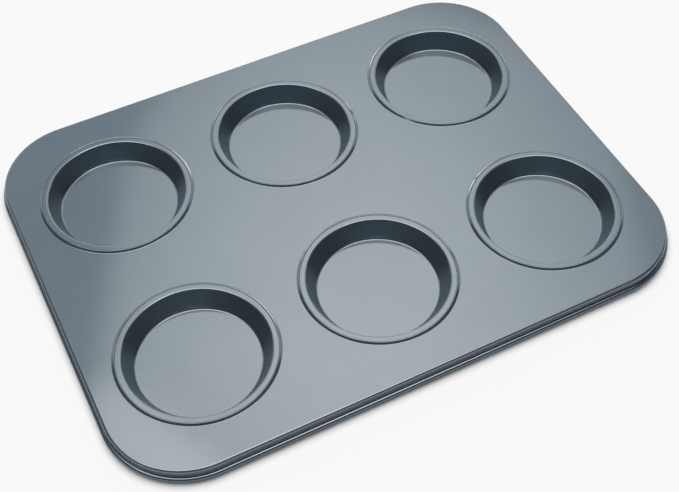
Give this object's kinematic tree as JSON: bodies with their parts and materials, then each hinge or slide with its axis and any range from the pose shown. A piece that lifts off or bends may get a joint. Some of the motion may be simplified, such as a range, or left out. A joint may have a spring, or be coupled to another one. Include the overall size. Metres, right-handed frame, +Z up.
{
  "type": "muffin top pan",
  "caption": "Flat rectangular coated-steel baking pan with rounded corners, a wired rolled rim and shallow round cups in raised rings, for baking wide flat muffin tops.",
  "frame": {"origin": "on the table under the middle of the pan, level with the undersides of the cups", "axes": "+X along the pan's long side, +Y from the front row of cups to the rear row, +Z up out of the cups"},
  "size_m": [0.3814, 0.292, 0.0131],
  "materials": {
    "nonstick_coat": "satin blue-grey non-stick coating on steel",
    "wire_steel": "drawn bare steel wire"
  },
  "bodies": {
    "root": {"deck_sheet": "nonstick_coat", "cup_front_left": "nonstick_coat", "cup_front_middle": "nonstick_coat", "cup_front_right": "nonstick_coat", "cup_rear_left": "nonstick_coat", "cup_rear_middle": "nonstick_coat", "cup_rear_right": "nonstick_coat", "rim_wire": "wire_steel"}
  },
  "joints": []
}
